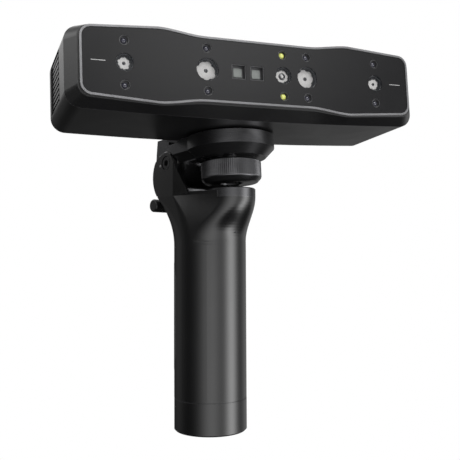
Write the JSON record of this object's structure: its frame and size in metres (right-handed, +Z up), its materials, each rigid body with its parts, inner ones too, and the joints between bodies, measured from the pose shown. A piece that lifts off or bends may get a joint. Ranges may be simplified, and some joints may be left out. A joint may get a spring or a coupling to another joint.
{
  "type": "handheld 3d scanner",
  "caption": "Handheld 3D scanner: wide multi-camera head on a tilting clamp platform with a round grip handle.",
  "frame": {"origin": "centre of the handle's bottom face, on the axis of the tripod thread", "axes": "+Z up along the grip, the handle's front towards -Y, +X to the right seen from behind the handle's front face as the user looks along +Y"},
  "size_m": [0.1785, 0.1147, 0.1905],
  "materials": {
    "satin_black_shell": "fine satin moulding",
    "bright_rim": "diamond-cut bright chamfer",
    "dark_glass": "polished smoked panel",
    "clear_window": "coated clear window",
    "infrared_lamp": "dark blue lens",
    "flash_lamp": "yellow-green phosphor",
    "bright_mark": "pale inlay",
    "lens_black": "grey lens barrel",
    "raw_aluminium": "milled",
    "circuit_board": "solder mask",
    "fan_plastic": "moulded",
    "vent_black": "moulded slats",
    "screw_steel": "plain",
    "brass": "machined",
    "button_black": "satin",
    "status_light": "diffuse light guide",
    "anodised_black": "black anodised, turned finish",
    "soft_rubber": "fine matte",
    "grip_black": "satin black coating",
    "blackened_steel": "blackened",
    "washer_plastic": "acetal"
  },
  "bodies": {
    "handle": {"grip": "grip_black", "grip_pad": "soft_rubber", "bottom_cap": "grip_black", "tripod_socket": "screw_steel", "neck_ring": "anodised_black", "ring_screw": "blackened_steel", "pivot_bolt": "blackened_steel", "pivot_nut": "blackened_steel", "stop_pins": "bright_mark", "friction_washers": "washer_plastic"},
    "platform": {"platform": "anodised_black", "platform_pad": "soft_rubber", "retaining_clip": "screw_steel"},
    "clamp_wheel": {"clamp_wheel": "anodised_black", "clamp_screw": "screw_steel"},
    "lock_lever": {"lock_tee": "blackened_steel", "lock_screw": "screw_steel"},
    "head": {"button_board": "circuit_board", "camera_windows": "clear_window", "colour_camera": "lens_black", "cover_screws": "screw_steel", "fan_frame": "fan_plastic", "flash_lamps": "flash_lamp", "front_bezel": "satin_black_shell", "front_glass": "dark_glass", "heat_sink": "raw_aluminium", "housing": "satin_black_shell", "index_marks": "bright_mark", "infrared_lamps": "infrared_lamp", "left_inner_camera": "lens_black", "left_outer_camera": "lens_black", "left_vent": "vent_black", "main_board": "circuit_board", "optical_bench": "raw_aluminium", "pattern_projectors": "raw_aluminium", "projector_windows": "clear_window", "rear_cover": "satin_black_shell", "right_inner_camera": "lens_black", "right_outer_camera": "lens_black", "right_vent": "vent_black", "rim_trim": "bright_rim", "screw_insert": "brass", "status_lights": "status_light", "usb_c_port": "screw_steel"},
    "scan_button": {"scan_button": "button_black"},
    "plus_button": {"plus_button": "button_black"},
    "minus_button": {"minus_button": "button_black"},
    "fan": {"fan_rotor": "fan_plastic"}
  },
  "joints": [
    {"name": "head_tilt", "type": "hinge", "parent": "handle", "child": "platform", "pos_m": [0, 0.0116, 0.1364], "axis": [-1, 0, 0], "range_deg": [0, 50]},
    {"name": "head_swivel", "type": "hinge", "parent": "platform", "child": "head", "pos_m": [0, -0.01566, 0.14864], "axis": [0, 0.0558, 0.9984], "range_deg": [-10, 50]},
    {"name": "clamp_wheel_turn", "type": "hinge", "parent": "platform", "child": "clamp_wheel", "pos_m": [0, -0.01666, 0.13067], "axis": [0, 0.0558, 0.9984], "continuous": true},
    {"name": "tilt_lock_turn", "type": "hinge", "parent": "handle", "child": "lock_lever", "pos_m": [0, 0.0315, 0.116], "axis": [0, 1, 0], "range_deg": [-45, 45]},
    {"name": "scan_press", "type": "slide", "parent": "head", "child": "scan_button", "axis": [-0.342, -0.9382, 0.0525], "range_m": [0, 0.0006], "stiffness_N_per_m": 900, "springref_m": -0.001},
    {"name": "plus_press", "type": "slide", "parent": "head", "child": "plus_button", "axis": [-0.342, -0.9382, 0.0525], "range_m": [0, 0.0005], "stiffness_N_per_m": 600, "springref_m": -0.001},
    {"name": "minus_press", "type": "slide", "parent": "head", "child": "minus_button", "axis": [-0.342, -0.9382, 0.0525], "range_m": [0, 0.0005], "stiffness_N_per_m": 600, "springref_m": -0.001},
    {"name": "fan_spin", "type": "hinge", "parent": "head", "child": "fan", "pos_m": [0.05209, -0.04386, 0.17075], "axis": [0.342, 0.9382, -0.0525], "continuous": true}
  ]
}
